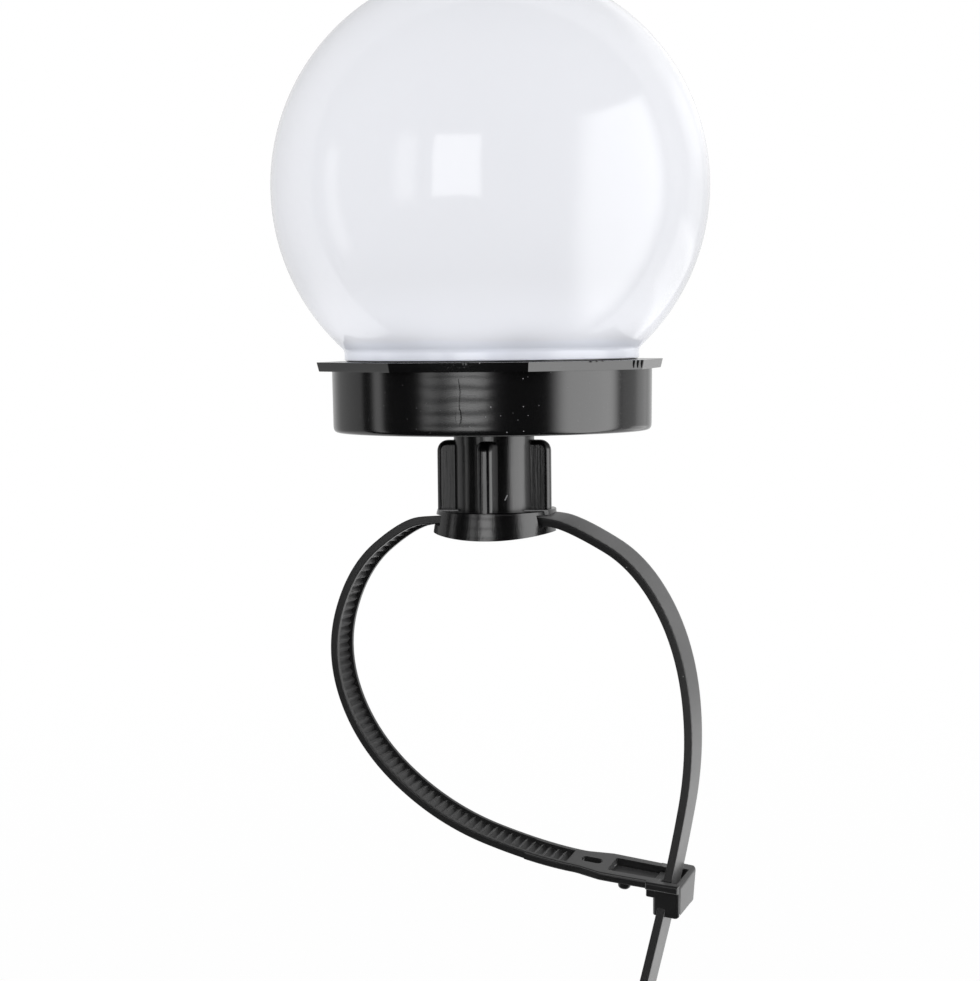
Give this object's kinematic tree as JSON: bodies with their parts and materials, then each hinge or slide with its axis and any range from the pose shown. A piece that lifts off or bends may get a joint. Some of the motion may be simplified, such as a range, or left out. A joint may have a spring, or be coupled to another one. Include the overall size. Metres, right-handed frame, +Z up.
{
  "type": "garden globe light",
  "caption": "Milky ball light on a black drum with an octagonal plate, carried by a ribbed swivel hub that a cable tie straps to a branch, post or rail.",
  "frame": {"origin": "middle of the strap hub's bowed underside, where it sits on a branch", "axes": "+Z up along the lamp's axis; X and Y normal to the octagonal plate's flats; the pictured side faces -Y, a little to +X"},
  "size_m": [0.1, 0.1, 0.2764],
  "materials": {
    "milky_ball": "glossy translucent white",
    "black_housing": "semi gloss moulded black",
    "black_hub": "semi gloss moulded black",
    "tie_nylon": "satin black nylon",
    "seal_rubber": "matte",
    "board_green": "solder mask",
    "solar_blue": "cell face with fine grid",
    "panel_resin": "clear resin",
    "lamp_resin": "clear resin",
    "steel": "zinc plated",
    "chip_black": "moulded",
    "coil_dark": "ferrite",
    "switch_metal": "pressed steel",
    "switch_knob": "moulded",
    "tray_black": "moulded",
    "cell_wrap": "shrink sleeve",
    "nickel": "nickel plated",
    "lead_red": "insulation",
    "lead_black": "insulation"
  },
  "bodies": {
    "strap_mount": {"strap_hub": "black_hub", "cable_tie": "tie_nylon"},
    "lamp": {"globe_seal": "seal_rubber", "top_plate": "black_housing", "solar_backing": "board_green", "solar_cells": "solar_blue", "solar_cover": "panel_resin", "leds": "lamp_resin", "control_board": "board_green", "board_screws": "steel", "driver_chip": "chip_black", "boost_inductor": "coil_dark", "slide_switch": "switch_metal", "battery_tray": "tray_black", "battery_cell": "cell_wrap", "contact_plate": "nickel", "contact_spring": "nickel", "red_leads": "lead_red", "black_leads": "lead_black", "drum": "black_housing", "case_seal": "seal_rubber", "case_screws": "steel"},
    "ball": {"globe": "milky_ball"},
    "switch_knob": {"switch_slider": "switch_knob"},
    "pawl": {"release_pawl": "tie_nylon"}
  },
  "joints": [
    {"name": "lamp_turn", "type": "hinge", "parent": "strap_mount", "child": "lamp", "pos_m": [0, 0, 0.0244], "axis": [0, 0, 1], "continuous": true},
    {"name": "ball_twist", "type": "hinge", "parent": "lamp", "child": "ball", "pos_m": [0, 0, 0.0405], "axis": [0, 0, 1], "range_deg": [0, 20]},
    {"name": "switch_slide", "type": "slide", "parent": "lamp", "child": "switch_knob", "axis": [1, 0, 0], "range_m": [0, 0.002]},
    {"name": "pawl_release", "type": "hinge", "parent": "strap_mount", "child": "pawl", "pos_m": [0.03839, -0.00711, -0.07695], "axis": [0.1822, 0.9833, 0], "range_deg": [0, 12], "stiffness_Nm_per_rad": 0.05}
  ]
}
